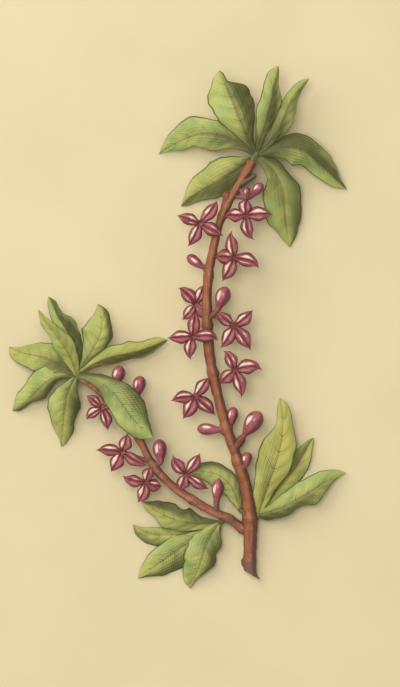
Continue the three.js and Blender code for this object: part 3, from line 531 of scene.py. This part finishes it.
def marks_of(along, across, first_tone, second_tone):
    """The marks of a row of rings, with the tones closed where a ring meets itself."""
    tones = [np.concatenate([tone, tone[:, :1]], 1) for tone in (first_tone, second_tone)]
    return np.stack(np.broadcast_arrays(along, across, *tones), -1)


def unit(vectors):
    return vectors / np.linalg.norm(vectors, axis=-1, keepdims=True)


def bump_at(far, width):
    """A smooth bump, 1 where far is 0 and gone some widths away."""
    return np.exp(-(far / width) ** 2)


def glide(t, value, slope, next_value, next_slope):
    """The cubic from one value and slope to the next, as t goes from 0 to 1."""
    return ((2 * t ** 3 - 3 * t ** 2 + 1) * value + (t ** 3 - 2 * t ** 2 + t) * slope
            + (3 * t ** 2 - 2 * t ** 3) * next_value + (t ** 3 - t ** 2) * next_slope)


def lumps(points, per_mm, seed, octaves):
    """Smooth noise at each point, about -1 to 1."""
    flat = points.reshape(-1, 3) * per_mm + seed * 17.3
    values = [noise.fractal(Vector(p), 0.7, 2.1, octaves) for p in flat]
    return np.array(values).reshape(points.shape[:-1])


# ---- wood ----
class Wood:
    """A smooth centre line through the places of a plan, with its radius and its frame."""

    def __init__(self, places, rings):
        places = np.array(places, float)
        knots = np.vstack([2 * places[0] - places[1], places, 2 * places[-1] - places[-2]])
        dense = [self.stretch(knots[i:i + 4]) for i in range(len(places) - 1)]
        dense = np.vstack(dense + [places[-1:]])
        run = np.concatenate([[0], np.cumsum(np.linalg.norm(np.diff(dense[:, :3], axis=0), axis=1))])
        self.length = run[-1]
        self.run = np.linspace(0, self.length, rings + 1)
        self.share = self.run / self.length
        values = np.stack([np.interp(self.run, run, column) for column in dense.T], -1)
        self.line, self.radius = values[:, :3], values[:, 3]
        self.along = unit(np.gradient(self.line, axis=0))
        side = np.cross(self.along[0], UP)
        self.side = np.empty_like(self.line)
        for ring, tangent in enumerate(self.along):
            side = unit(side - tangent * np.dot(side, tangent))
            self.side[ring] = side
        self.top = np.cross(self.side, self.along)

    @staticmethod
    def stretch(four):
        """The centripetal curve between the middle two of four knots."""
        gaps = [np.linalg.norm(four[k + 1, :3] - four[k, :3]) ** 0.5 for k in range(3)]
        d = np.diff(four, axis=0)
        start = d[0] / gaps[0] - (four[2] - four[0]) / (gaps[0] + gaps[1]) + d[1] / gaps[1]
        end = d[1] / gaps[1] - (four[3] - four[1]) / (gaps[1] + gaps[2]) + d[2] / gaps[2]
        t = np.linspace(0, 1, 24, endpoint=False)[:, None]
        return glide(t, four[1], start * gaps[1], four[2], end * gaps[1])

    def nearest(self, place):
        """The index of the ring whose centre is nearest in plan."""
        return np.argmin(np.linalg.norm(self.line[:, :2] - place[:2], axis=1))

    def gap(self, place):
        """How far a place lies from the centre line in plan."""
        return np.linalg.norm(self.line[self.nearest(place), :2] - place[:2])

    def around(self, sides):
        """The angles round it, from underneath, and the way out at each ring and angle."""
        angle = np.linspace(0, 2 * math.pi, sides, endpoint=False) - math.pi / 2
        turn = angle[:, None]
        return angle, self.side[:, None] * np.cos(turn) + self.top[:, None] * np.sin(turn)


def shaded_flank(way):
    """How far a skin faces down, or away from the light, from 0 to 1: how much painted shade its flank takes.
    """
    low = 1 - np.clip(way[..., 2], 0, 1)
    return np.clip(low ** 2.2 + 1.3 * np.clip(way @ FROM_LIGHT, 0, 1) ** 0.9, 0, 1)


def bark_skin(shell, wood, sides, nodes=(), cushions=(), seed=1, foot_cut=None, rough=1, rounded=0,
              collar=0, shade=0.0, from_foot=30):
    """Skins a piece of wood: a swelling and a scar at each node, a cushion under each bloom, lumps,
    wrinkles along it, breathing pores, a collar where it leaves the stem, and a rounded end. shade
    deepens its colour all over, and the nearer it counts as to the foot, the greyer it is. Its first
    tone darkens the scars and cushions and lays painted shade in the hollows of the wrinkles and at the
    collar; its second says how far it faces down or away from the light, for painted shade on its flanks."""
    angle, way = wood.around(sides)
    own, run = wood.radius[:, None], wood.run[:, None]
    radius = np.repeat(own, sides, 1)
    base = wood.line[:, None] + way * own[..., None]
    depth = np.full(radius.shape, shade)
    girth = np.clip(own / 1.8, 0.6, 1.2)

    def spot(where, facing, thick, length, width):
        """A smooth bump so far up the wood that faces that way."""
        turn = (angle - facing + math.pi) % (2 * math.pi) - math.pi
        return bump_at(run - where, length) * bump_at(turn * thick, width)

    for node in nodes:
        off = run - node * wood.length
        lean = 0.6 + 0.4 * np.cos(angle - 96 * node)
        swell = 0.34 * bump_at(off, 1.8) - 0.14 * bump_at(off - 2.8, 0.9)
        radius += (swell + 0.16 * bump_at(off + 0.9, 0.35) * lean) * girth
        depth += 0.5 * bump_at(off + 0.3, 0.4) * lean
    for place, size in cushions:
        ring = wood.nearest(place)
        toward = place - wood.line[ring]
        facing = math.atan2(toward @ wood.top[ring], toward @ wood.side[ring])
        close = spot(wood.run[ring], facing, wood.radius[ring], 1.5, 1.1)
        radius += size * close
        depth += 0.5 * close
    if collar:
        inside = np.clip((run - 0.3 * collar) / (0.7 * collar), 0, 1)
        flare = bump_at(run - collar, 2.0)
        radius = radius * (0.6 + 0.4 * inside) + 0.25 * flare * np.cos(angle) ** 2
        # painted shade where the branch meets the stem
        depth += 0.3 * flare
    wrinkle = lumps(base * 0.22 + way * 1.5, 1.0, seed, 4)
    radius += 0.09 * rough * wrinkle * (own / 2) ** 0.5
    # painted shade in the hollows of the wrinkles
    depth += 0.3 * np.clip(-wrinkle, 0, 1)
    radius += 0.2 * rough * lumps(base, 0.16, seed + 3, 2) * girth
    draw = np.random.default_rng(seed)
    pores = [draw.uniform(low, high, int(wood.length * 0.9))
             for low, high in ((0, wood.length), (0, 2 * math.pi), (0.5, 1.0))]
    for where, facing, size in zip(*pores):
        radius += 0.11 * size * spot(where, facing, own, 0.32, 0.22)
    if rounded:
        left = np.clip((wood.length - run) / rounded, 0, 1)
        radius *= np.sqrt(np.clip(1 - (1 - left) ** 2, 0.02, 1))
    points = wood.line[:, None] + way * radius[..., None]
    if foot_cut:
        points = slide_to_cut(points, **foot_cut)
    # the first tone holds the scars and the painted shade, the second the painted shade on the flanks
    marks = marks_of(run if foot_cut else from_foot, np.linspace(0, 2 * math.pi, sides + 1) * own,
                     np.clip(depth, 0, 1), shaded_flank(way))
    shell.rings(points, marks, 0, caps=(foot_cut is None, True))
    return points


def slide_to_cut(points, through, slope, splinter, reach=16.0):
    """Slides the rings near the foot along the stem so that the first lies on the slanting cut. A
    splinter of bark stays on the long side, where the knife came out."""
    rise = math.tan(math.radians(slope))
    low = points[0, :, 1]
    on_cut = through[1] - (points[0, :, 0] - through[0]) * rise
    share = np.clip((points[..., 1] - low) / reach, 0, 1)
    long_side = np.clip(points[..., 0] - through[0], 0, 2) / 2
    left = splinter * long_side ** 2 * np.clip(1 - share * 5, 0, 1) ** 2
    moved = points.copy()
    moved[..., 0] += left
    moved[..., 1] += (on_cut - low) * (1 - share) - left * rise
    return moved


def cut_face(shell, rim):
    """The cut end: a lip of bark, a slightly domed face of wood and a dimple at the pith."""
    centre = rim.mean(0)
    out = unit(np.cross(rim[0] - centre, rim[len(rim) // 4] - centre))
    out = out if out[1] < 0 else -out
    share = np.array([1, 0.97, 0.9, 0.86, 0.7, 0.55, 0.4, 0.25, 0.14, 0.07])[:, None]
    dome = 0.14 * (1 - share ** 2) - 0.2 * (share < 0.1)
    dome = np.where(share == 0.9, -0.18, dome)
    rows = centre + (rim - centre) * share[..., None] + out * dome[..., None]
    shell.rings(rows, share[..., None] * (1, 0, 0, 0), 1, caps=(False, True))


def wood_piece(wood, sides, nodes, spurs, cushions, seed, bark, node, slot, foot_cut=None, collar=0):
    """The stem or the branch with its spurs."""
    shell = Shell()
    points = bark_skin(shell, wood, sides, nodes, cushions, seed, foot_cut, collar=collar)
    if foot_cut:
        cut_face(shell, points[0])
    for i, (start, end, (thick, thin), from_foot) in enumerate(spurs):
        middle = (np.array(start) + end) / 2
        places = [(*start, thick * 1.15), (*middle, (thick + thin) / 2), (*end, thin * 1.06)]
        bark_skin(shell, Wood(places, 26), 26, nodes=(0.72,), seed=seed + 20 + i, rough=1.9,
                  rounded=1.2 * thin, shade=0.45, from_foot=from_foot)
    shell.piece(slot + "_skin", [bark, CUT_WOOD], node)


# ---- blades ----
def margin(widths, stalk, point):
    """A smooth margin through the widths at those hundredths of the length, from the stalk's half
    width to the point's, that has no bulge or dip but theirs."""
    share, width = np.array([(0, stalk), *widths.items(), (100, point)]).T
    share = share / 100
    step = np.diff(share)
    slope = np.diff(width) / step
    level = slope[:-1] * slope[1:] <= 0
    before, after = np.where(level, 1, slope[:-1]), np.where(level, 1, slope[1:])
    mean = 3 * (step[:-1] + step[1:]) / ((2 * step[1:] + step[:-1]) / before
                                         + (step[1:] + 2 * step[:-1]) / after)
    tangent = np.concatenate([slope[:1], np.where(level, 0, mean), slope[-1:]])

    def at(u):
        i = np.clip(np.searchsorted(share, u, side="right") - 1, 0, len(step) - 1)
        return glide((u - share[i]) / step[i], width[i], step[i] * tangent[i],
                     width[i + 1], step[i] * tangent[i + 1])

    return at


def midrib(root, tip, bow=0, sway=0, arch=0, hook=0):
    """The line of a leaf or lobe from its root to its point."""
    root, tip = np.array(root, float), np.array(tip, float)
    plan = unit((tip - root)[:2])
    right = np.array([plan[1], -plan[0], 0.0])

    def line(u):
        u = u[:, None]
        bend = bow * np.sin(math.pi * u) + sway * np.sin(2 * math.pi * u)
        turn = hook * np.maximum(0, (u - 0.7) / 0.3) ** 2
        at = root + (tip - right * hook - root) * u
        return at + right * (bend + turn) + UP * arch * np.sin(math.pi * u)

    return line


def blade(shell, line, right, left, fold, roll, height, tone, finishes, number, thickness, steps, lanes):
    """One thin blade closed all round. right(u) and left(u) give its half widths, height its relief
    and tone its two tones; u runs to the point and v from -1 on the left to 1."""
    u = np.linspace(0, 1, steps + 1)
    v = np.sin(np.linspace(-1, 1, lanes + 1) * math.pi / 2 * 0.92) / math.sin(math.pi / 2 * 0.92)
    along = unit(line(np.minimum(u + 0.01, 1)) - line(np.maximum(u - 0.01, 0)))
    across = unit(np.cross(along, UP))
    through = np.cross(across, along)
    across, through = (across * math.cos(roll) - through * math.sin(roll),
                       through * math.cos(roll) + across * math.sin(roll))
    uu, vv = np.meshgrid(u, v, indexing="ij")
    reach = np.where(vv > 0, right(u)[:, None], left(u)[:, None])
    lift = np.abs(vv) * reach * math.sin(fold) + height(uu, vv, reach)
    skin = (line(u)[:, None] + across[:, None] * (vv * reach * math.cos(fold))[..., None]
            + through[:, None] * lift[..., None])
    # what would go through the table lies along it
    over = skin[..., 2] - TABLE_CLEAR
    skin[..., 2] = TABLE_CLEAR + (over + np.hypot(over, 0.5)) / 2
    half = thickness / 2 * (1 - 0.55 * vv ** 8) * np.where(uu > 0.97, 0.6, 1.0)
    out = through[:, None] * half[..., None]
    points = np.concatenate([skin + out, (skin - out)[:, ::-1]], 1)
    face = np.stack([uu * 0.996 + 0.002 + number, vv, *tone(uu, vv)], -1)
    marks = np.concatenate([face, face[:, ::-1], face[:, :1]], 1)
    shell.rings(points, marks, np.repeat(finishes, lanes + 1))


LEAF_MESH = dict(thickness=0.42, steps=84, lanes=30)
LOBE_MESH = dict(thickness=0.5, steps=40, lanes=20)


def leaf(shell, joint, number, tip, right, left, deep, yellow, fold, lift=0, roll=0, rim=(0, 0), **bends):
    """One leaf: a stalk that widens into two halves with margins of their own, the midrib sunk, the
    veins drawn in and the flesh pillowed between them, and the margin waved and frilled."""
    root = joint + UP * lift * 0.6
    phase = 2.1 * number
    fold, roll = math.radians(fold), math.radians(roll)

    def half(widths, tilt):
        """The margins are given in plan, so a tilted half is wider than it looks from above."""
        side = margin(widths, 1.0, 0.12)
        return lambda u: side(u) / math.cos(tilt) * (
            1 + 0.04 * np.sin(23 * u + 2.3 * phase + 4 * tilt) + 0.014 * np.sin(53 * u + phase))

    def height(u, v, reach):
        a = np.abs(v)
        body = np.minimum(6 * np.sin(math.pi * u), 1)
        wave = 0.19 * v ** 2 * np.sin(13 * u + phase + 1.3 * v)
        frill = 0.05 * a ** 3 * np.sin(37 * u + 2 * phase + 3 * v)
        swell = 0.09 * np.sin(math.pi * a) - 0.07 * a ** 6
        rib = -0.3 * bump_at(v * reach, 0.35) * (1 - 0.6 * u) * np.minimum(reach, 1)
        place = ((u - VEIN_SWEEP * a ** 1.3) * VEIN_PAIRS) % 1 - 0.5
        fill = np.minimum(reach / 4, 1) * (1 - a ** 3)
        vein = -0.12 * bump_at(place, 0.1) * fill * np.minimum(a / 0.1, 1)
        pillow = -0.12 * np.cos(place * 2 * math.pi) * fill * np.minimum(a / 0.25, 1)
        return reach * (wave + frill + swell) * body + rib + vein + pillow

    def tone(u, v):
        """The painted shade: the halves meet in a wavering line at the midrib, it is deepest near the stalk
        and it pales towards the point.
        """
        a = np.abs(v)
        edge = 0.08 * np.sin(9 * u + phase) + 0.04 * np.sin(23 * u)
        side = 1 / (1 + np.exp(-(v - edge) * 14))
        depth, out = (pair[1] * (1 - side) + pair[0] * side for pair in (deep, rim))
        depth = depth * (1.45 - 0.9 * a + out * (2 * a - 1)) * (1 + 0.2 * np.sin(7 * u + 3 * v + phase))
        depth = depth + 1.2 * (deep[2] - LIGHT) * bump_at(u, 0.3) + 0.25 * (0.6 - u)
        return np.clip(depth, 0, 1), np.full_like(u, yellow)

    blade(shell, midrib(root, tip, **bends), half(right, fold - roll), half(left, fold + roll),
          fold, roll, height, tone, (0, 1), number, **LEAF_MESH)


def tuft(node, crown, leaves):
    """A short green stem with its leaves."""
    shell = Shell()
    start, end, (thick, thin) = crown
    start, end = np.array(start), np.array(end)
    places = [(*(start - (end - start) * 0.25), thick), (*((start + end) / 2), (thick + thin) / 2),
              (*end, thin * 0.9)]
    bark_skin(shell, Wood(places, 20), 24, seed=5, rough=0.8, rounded=0.9)
    shell.marks = [np.broadcast_to(STALK_GREEN, mark.shape) for mark in shell.marks]
    for number, plan in enumerate(leaves):
        leaf(shell, end + (start - end) * 0.35, number, **plan)
    shell.piece(node + "_blades", [LEAF_TOP, LEAF_UNDER], node)


# ---- flowers and buds ----
def tube_line(start, end, heading, radii, rings):
    """The tube leaves the wood sideways and turns to meet end along heading."""
    span = np.linalg.norm(end - start)
    out = unit((end - start) * (1, 1, 0)) * 1.35 * span
    share = np.linspace(0, 1, 9)
    path = glide(share[:, None], start, out, end, heading * 1.2 * span)
    return Wood(np.column_stack([path, np.interp(share, *zip(*radii))]), rings)


def round_skin(shell, wood, sides, finish_index, caps=(True, True), bloom=0, number=0):
    """A round skin on a line, with four shallow ribs. Its first tone is a painted highlight on the side
    towards the light, as strong as bloom asks, and its second how far it faces down or away from the
    light, for painted shade."""
    angle, way = wood.around(sides)
    radius = wood.radius[:, None] * (1 + 0.03 * np.cos(4 * angle))
    # each quarter is one lobe, folded over the next along a seam
    quarter = (np.linspace(0, 4, sides + 1) + 0.5) % 1
    toward = unit(TO_LIGHT - wood.along * (wood.along @ TO_LIGHT)[:, None])
    facing = np.clip(np.einsum("ijk,ik->ij", way, toward), 0, 1)
    # the painted highlight, a little past the middle, where the skin faces the light
    lit = bloom * facing ** 9 * bump_at(wood.share - 0.56, 0.34)[:, None]
    marks = marks_of(wood.share[:, None] * 0.996 + 0.002 + number, np.abs(quarter * 2 - 1), lit, shaded_flank(way))
    points = wood.line[:, None] + way * radius[..., None]
    shell.rings(points, marks, finish_index, caps)
    return points


def flower(number, wood, throat, *lobes):
    """A flower: a downy tube, a throat that opens into it and four lobes, each with a groove and
    two swollen halves."""
    shell = Shell()
    centre = np.array(throat)
    start = wood.line[wood.nearest(min((lobe_tip(centre, *plan[:3]) for plan in lobes), key=wood.gap))]
    facing = unit(UP + 0.4 * unit((centre - start) * (1, 1, 0)))
    radii = [(0, 0.95), (0.5, 0.92), (0.85, 1.05), (1, 1.3)]
    line = tube_line(start, centre - facing * 0.1, facing, radii, 22)
    rim = round_skin(shell, line, 24, 1, caps=(True, False))[-1]
    funnel = [rim]
    for share, sink in ((0.86, -0.2), (0.6, -0.2), (0.4, -0.1), (0.3, 0.1), (0.2, 0.3)):
        funnel.append(centre + (rim - centre) * share - facing * sink)
    shell.rings(np.array(funnel), 0, 2, caps=(False, True))
    for i, plan in enumerate(lobes):
        lobe(shell, centre, i + 5 * number, lobe_tip(centre, *plan[:3]), *plan[3:])
    shell.piece(f"bloom_{number:02d}", [PETAL, TUBE, THROAT], f"flower_{number:02d}", sharp=80)


def lobe_share(u, widest):
    """The outline of a lobe: narrow at its base, an oval from there, and a small beak for a point."""
    rise = 0.34 + 0.66 * np.sin(np.clip(u / widest, 0, 1) * math.pi / 2) ** 1.2
    t = np.clip((u - widest) / (1 - widest), 0, 1)
    oval = np.clip(1 - (t / 0.9) ** 2, 0, 1) * (1 - 0.15 * t)
    return rise * np.hypot(oval, 0.17 * (1 - t) ** 0.7)


def lobe_tip(centre, bearing, reach, rise):
    """Where a lobe's point lies."""
    return centre + (reach * math.cos(math.radians(bearing)), reach * math.sin(math.radians(bearing)), rise)


def lobe(shell, centre, number, tip, right, left, widest, hook=0):
    """One lobe of a flower. The half that faces the light takes the larger painted highlight."""
    ray = unit((tip - centre) * (1, 1, 0))
    to_right = np.array([ray[1], -ray[0], 0])
    root = centre + ray * 0.45 - UP * 0.2
    phase = 1.7 * number
    bow = 0.4 * (right - left)

    def half(width, turn):
        return lambda u: width * lobe_share(u, widest) * (1 + 0.04 * np.sin(13 * u + phase + turn)) + 0.1

    def height(u, v, reach):
        a = np.abs(v)
        body = np.minimum(1, 5 * np.sin(math.pi * u)) * np.minimum(reach / 2, 1)
        swell = 0.7 * np.sin(math.pi * np.minimum(a * 1.02, 1)) ** 0.9
        curl = -0.7 * a ** 3
        ruffle = 0.14 * v * np.sin(11 * u + phase)
        return (swell + curl + ruffle) * body - 0.7 * u ** 5

    def tone(u, v):
        # how much painted highlight each half takes, by how far it faces the light
        lit = np.clip(0.5 + 0.75 * np.dot(to_right, TO_LIGHT) * np.sign(v), 0, 1)
        return lit * (1 + 0.15 * math.sin(5 * phase)), np.zeros_like(u)

    blade(shell, midrib(root, tip, bow=bow, arch=0.6, hook=1.4 * hook), half(right - bow, 0),
          half(left + bow, 2), math.radians(8), 0, height, tone, (0, 0), number, **LOBE_MESH)


def bud(number, wood, base, point, width, leaves_from=None):
    """A closed bud: four lobes folded into an egg on its tube, blunt or pointed at the top."""
    shell = Shell()
    foot, tip = np.array(base), np.array(point)
    axis = unit(tip - foot)
    length = np.linalg.norm(tip - foot)
    start = leaves_from or wood.line[wood.nearest(foot)]
    neck = min(0.28 * width, 1.3)
    radii = [(0, 1.1), (0.6, neck * 0.9), (1, neck)]
    round_skin(shell, tube_line(start, foot + axis * 0.1 * length, axis, radii, 20), 20, 1)
    share = (1 - np.cos(np.linspace(0, math.pi, 22))) / 2
    swell = np.sin(np.clip(share / 0.6, 0, 1) * math.pi / 2) ** (1.6 if number in TAPERED_BUDS else 1.0)
    blunt, ends_at = (0.85, 1.7) if number in POINTED_BUDS else (0.6, 2.1)
    egg = (0.9 * neck + (width / 2 - 0.9 * neck) * swell) * (
        1 - np.clip(share / 0.4 - 1.5, 0, 1) ** ends_at) ** blunt
    egg[-1] = 0.05
    places = np.column_stack([foot + axis * length * share[:, None], egg])
    # the head takes the painted highlight at full strength
    round_skin(shell, Wood(places, 44), 40, 0, bloom=1.0, number=number)
    shell.piece(f"closed_bud_{number:02d}", [BUD_SKIN, TUBE], f"bud_{number:02d}", sharp=80)


# ---- the sprig ----
stem = Wood(STEM_LINE, 620)
branch = Wood(BRANCH_LINE, 380)

stem_cushions = [(row[0], 0.35) for row in STEM_FLOWERS + STEM_BUDS]
stem_cushions += [((-4.0, 151.4, 13.4), 0.7), ((-3.4, 1.8, 3.2), 0.9), ((-3.4, -0.7, 2.8), 0.9)]
branch_cushions = [(row[0], 0.35) for row in BRANCH_FLOWERS + BRANCH_BUDS]
wood_piece(stem, 56, STEM_NODES, STEM_SPURS, stem_cushions, 11, STEM_BARK, "main_stem",
           "stem_bark", FOOT_CUT)
wood_piece(branch, 44, BRANCH_NODES, BRANCH_SPURS, branch_cushions, 31, BRANCH_BARK, "side_branch",
           "branch_bark", collar=4.4)

for node, plan in TUFTS.items():
    tuft(node, **plan)

for build, on_stem, on_branch in ((flower, STEM_FLOWERS, BRANCH_FLOWERS), (bud, STEM_BUDS, BRANCH_BUDS)):
    rows = [(stem, *row) for row in on_stem] + [(branch, *row) for row in on_branch]
    for number, row in enumerate(rows, 1):
        build(number, *row)


# ---- table, light and camera ----
def soft_light(name, place, size, watts, colour):
    """A square lamp that looks at the middle of the sprig."""
    lamp = bpy.data.lights.new(name, "AREA")
    lamp.size = size
    lamp.energy = watts
    lamp.color = linear(colour)[:3]
    place_in_scene(name, lamp, place).rotation_euler = Vector(place).to_track_quat("Z", "Y").to_euler()


TABLE_HALF = 1.2  # metres from its middle to a side
table_mesh = bpy.data.meshes.new("table_top")
corners = [(TABLE_HALF * x, TABLE_HALF * y, 0) for x, y in ((-1, -1), (1, -1), (1, 1), (-1, 1))]
table_mesh.from_pydata(corners, [], [(0, 1, 2, 3)])
table_mesh.materials.append(TABLE_TOP)
place_in_scene("table_top", table_mesh)

soft_light("window_light", (-0.9, 0.8, 1.1), 1.1, 13, "#fff8ec")
soft_light("softbox_above", (-0.2, 0.2, 1.7), 0.7, 15, "#fbf8f2")
world = bpy.data.worlds.new("soft_room")
world.use_nodes = True
room_light = world.node_tree.nodes["Background"].inputs
room_light["Color"].default_value = linear("#f5f0e6")
room_light["Strength"].default_value = 0.45
scene = bpy.context.scene
scene.world = world
scene.view_settings.view_transform = "Standard"

FRAME_HEIGHT = 0.2748  # metres of table from the top of the picture to its foot
LENS = 400  # mm, so long that nothing leans
SENSOR = 36
lens = bpy.data.cameras.new("overhead")
lens.lens = LENS
lens.sensor_width = SENSOR
lens.clip_end = 20
camera_height = 0.008 + FRAME_HEIGHT * LENS / SENSOR
scene.camera = place_in_scene("overhead", lens, (0.0088, -0.0062, camera_height))
